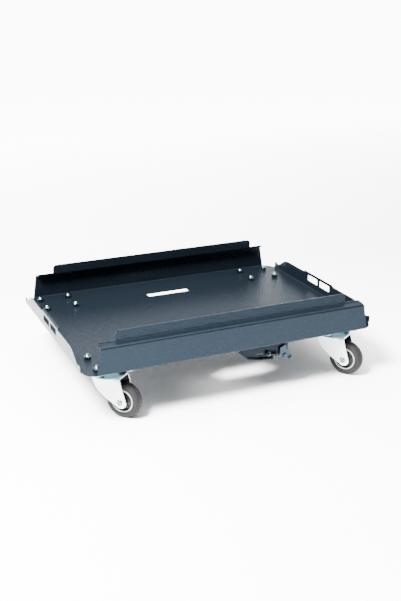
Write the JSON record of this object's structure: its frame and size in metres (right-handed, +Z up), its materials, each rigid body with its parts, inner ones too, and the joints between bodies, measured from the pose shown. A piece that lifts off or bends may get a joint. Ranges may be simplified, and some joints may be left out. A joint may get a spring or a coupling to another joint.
{
  "type": "wheel dolly",
  "caption": "Flat transport dolly: a folded sheet tray with side rails and end flanges with grip windows, on swivel plate casters, with a spring catch below.",
  "frame": {"origin": "on the floor, under the middle of the whole dolly, 3.3 mm in front of the middle of the tray", "axes": "+X along the rails to the right, +Y away from the front rail, +Z up"},
  "size_m": [0.652, 0.4926, 0.1893],
  "materials": {
    "painted_sheet": "fine-textured semi-gloss powder coat, dark slate blue",
    "zinc": "bright blue-passivated zinc plate",
    "spring_steel": "drawn spring wire",
    "tyre_rubber": "matt grey thermoplastic rubber",
    "wheel_plastic": "dark grey polypropylene"
  },
  "bodies": {
    "tray": {"tray": "painted_sheet", "front_left_plate": "zinc", "front_left_upper_race": "zinc", "front_left_kingpin": "zinc", "front_left_bolt_1": "zinc", "front_left_bolt_2": "zinc", "front_left_bolt_3": "zinc", "front_left_bolt_4": "zinc", "front_right_plate": "zinc", "front_right_upper_race": "zinc", "front_right_kingpin": "zinc", "front_right_bolt_1": "zinc", "front_right_bolt_2": "zinc", "front_right_bolt_3": "zinc", "front_right_bolt_4": "zinc", "rear_left_plate": "zinc", "rear_left_upper_race": "zinc", "rear_left_kingpin": "zinc", "rear_left_bolt_1": "zinc", "rear_left_bolt_2": "zinc", "rear_left_bolt_3": "zinc", "rear_left_bolt_4": "zinc", "rear_right_plate": "zinc", "rear_right_upper_race": "zinc", "rear_right_kingpin": "zinc", "rear_right_bolt_1": "zinc", "rear_right_bolt_2": "zinc", "rear_right_bolt_3": "zinc", "rear_right_bolt_4": "zinc", "latch_bracket": "painted_sheet", "latch_anchor_bolt": "zinc", "latch_anchor_nut": "zinc", "latch_pivot": "zinc", "latch_spring": "spring_steel"},
    "front_left_swivel": {"front_left_lower_race": "zinc", "front_left_fork": "zinc", "front_left_axle": "zinc", "front_left_axle_nut": "zinc"},
    "front_left_wheel": {"front_left_tyre": "tyre_rubber", "front_left_wheel_centre": "wheel_plastic"},
    "front_right_swivel": {"front_right_lower_race": "zinc", "front_right_fork": "zinc", "front_right_axle": "zinc", "front_right_axle_nut": "zinc"},
    "front_right_wheel": {"front_right_tyre": "tyre_rubber", "front_right_wheel_centre": "wheel_plastic"},
    "rear_left_swivel": {"rear_left_lower_race": "zinc", "rear_left_fork": "zinc", "rear_left_axle": "zinc", "rear_left_axle_nut": "zinc"},
    "rear_left_wheel": {"rear_left_tyre": "tyre_rubber", "rear_left_wheel_centre": "wheel_plastic"},
    "rear_right_swivel": {"rear_right_lower_race": "zinc", "rear_right_fork": "zinc", "rear_right_axle": "zinc", "rear_right_axle_nut": "zinc"},
    "rear_right_wheel": {"rear_right_tyre": "tyre_rubber", "rear_right_wheel_centre": "wheel_plastic"},
    "latch_catch": {"latch_catch": "zinc"}
  },
  "joints": [
    {"name": "front_left_swivel_turn", "type": "hinge", "parent": "tray", "child": "front_left_swivel", "pos_m": [-0.26, -0.1847, 0.1], "axis": [0, 0, 1], "continuous": true},
    {"name": "front_left_wheel_spin", "type": "hinge", "parent": "front_left_swivel", "child": "front_left_wheel", "pos_m": [-0.23792, -0.20922, 0.0375], "axis": [0.7431, 0.6691, 0], "continuous": true},
    {"name": "front_right_swivel_turn", "type": "hinge", "parent": "tray", "child": "front_right_swivel", "pos_m": [0.253, -0.1847, 0.1], "axis": [0, 0, 1], "continuous": true},
    {"name": "front_right_wheel_spin", "type": "hinge", "parent": "front_right_swivel", "child": "front_right_wheel", "pos_m": [0.27145, -0.21206, 0.0375], "axis": [0.829, 0.5592, 0], "continuous": true},
    {"name": "rear_left_swivel_turn", "type": "hinge", "parent": "tray", "child": "rear_left_swivel", "pos_m": [-0.26, 0.1803, 0.1], "axis": [0, 0, 1], "continuous": true},
    {"name": "rear_left_wheel_spin", "type": "hinge", "parent": "rear_left_swivel", "child": "rear_left_wheel", "pos_m": [-0.24451, 0.20944, 0.0375], "axis": [-0.8829, 0.4695, 0], "continuous": true},
    {"name": "rear_right_swivel_turn", "type": "hinge", "parent": "tray", "child": "rear_right_swivel", "pos_m": [0.253, 0.1803, 0.1], "axis": [0, 0, 1], "continuous": true},
    {"name": "rear_right_wheel_spin", "type": "hinge", "parent": "rear_right_swivel", "child": "rear_right_wheel", "pos_m": [0.27828, 0.20151, 0.0375], "axis": [-0.6428, 0.766, 0], "continuous": true},
    {"name": "latch_catch_press", "type": "hinge", "parent": "tray", "child": "latch_catch", "pos_m": [0.112, -0.2242, 0.075], "axis": [0, 1, 0], "range_deg": [0, 20], "stiffness_Nm_per_rad": 0.3, "springref_deg": -11.46}
  ]
}
